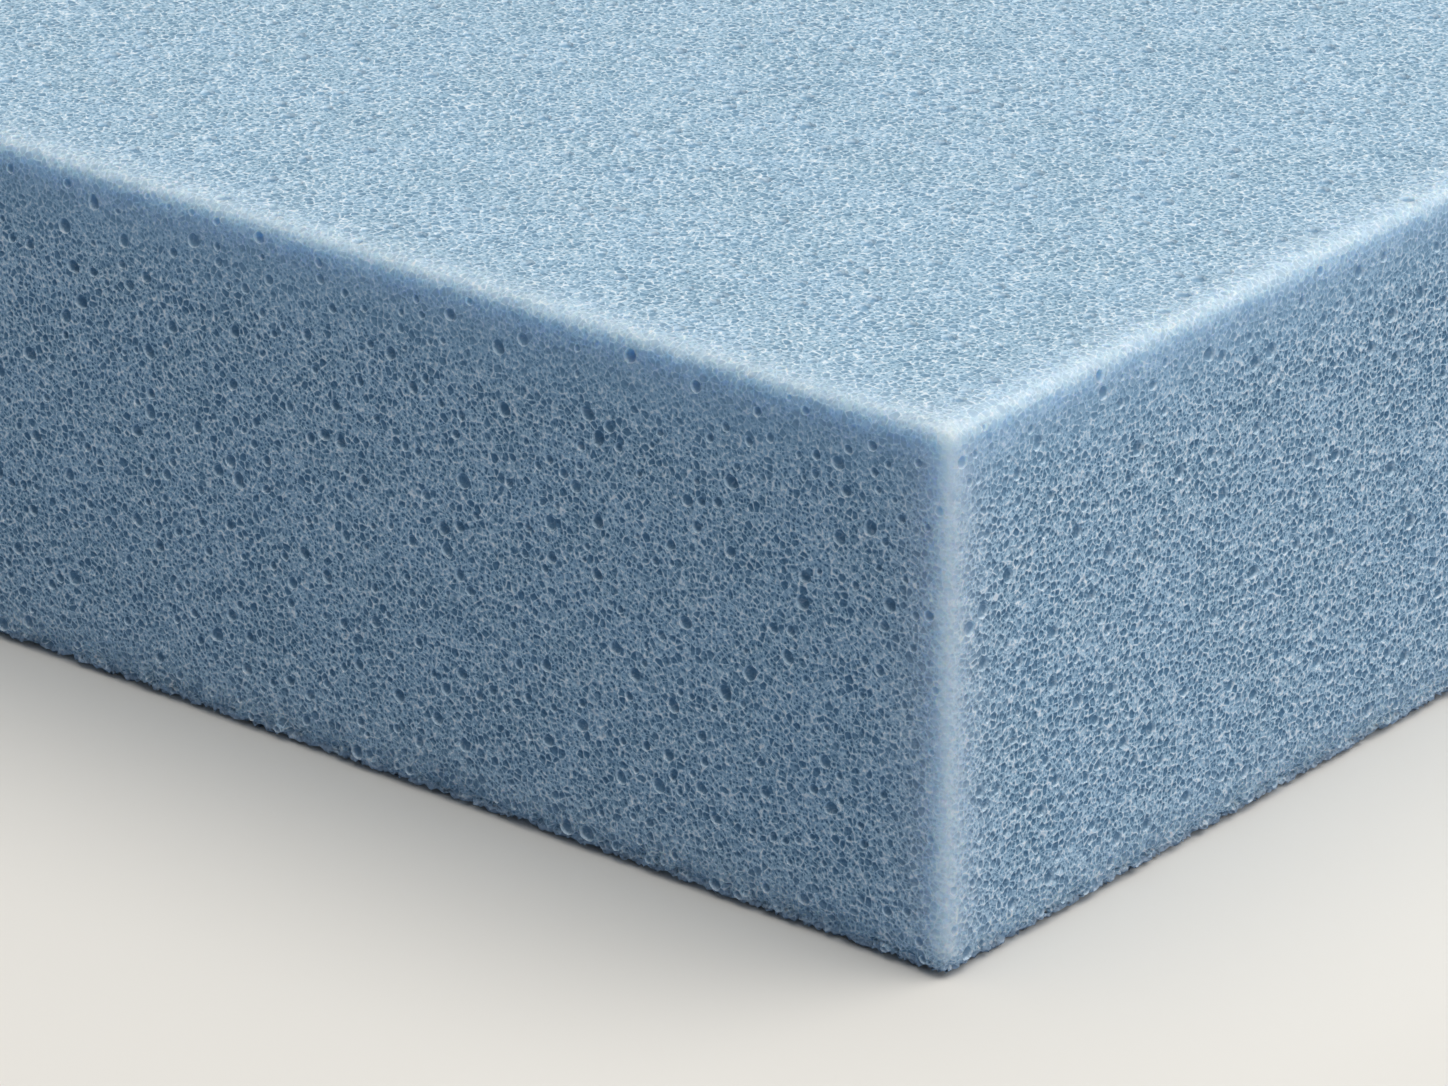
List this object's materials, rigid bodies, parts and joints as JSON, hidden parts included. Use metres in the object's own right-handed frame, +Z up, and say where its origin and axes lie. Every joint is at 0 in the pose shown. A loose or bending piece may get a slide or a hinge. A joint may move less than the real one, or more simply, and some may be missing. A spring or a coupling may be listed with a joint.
{
  "type": "foam block",
  "caption": "Rectangular block of soft open-cell foam with flat cut faces and softly rounded edges, for packing, padding or craft work.",
  "frame": {"origin": "middle of the bottom face, on the surface that the block rests on", "axes": "+X along the length, +Y along the width, +Z up through the thickness"},
  "size_m": [0.15, 0.125, 0.05],
  "materials": {
    "foam": "light blue open-cell polyurethane foam, matte, with fine cut cells and scattered larger pores"
  },
  "bodies": {
    "root": {"foam_block": "foam"}
  },
  "joints": []
}
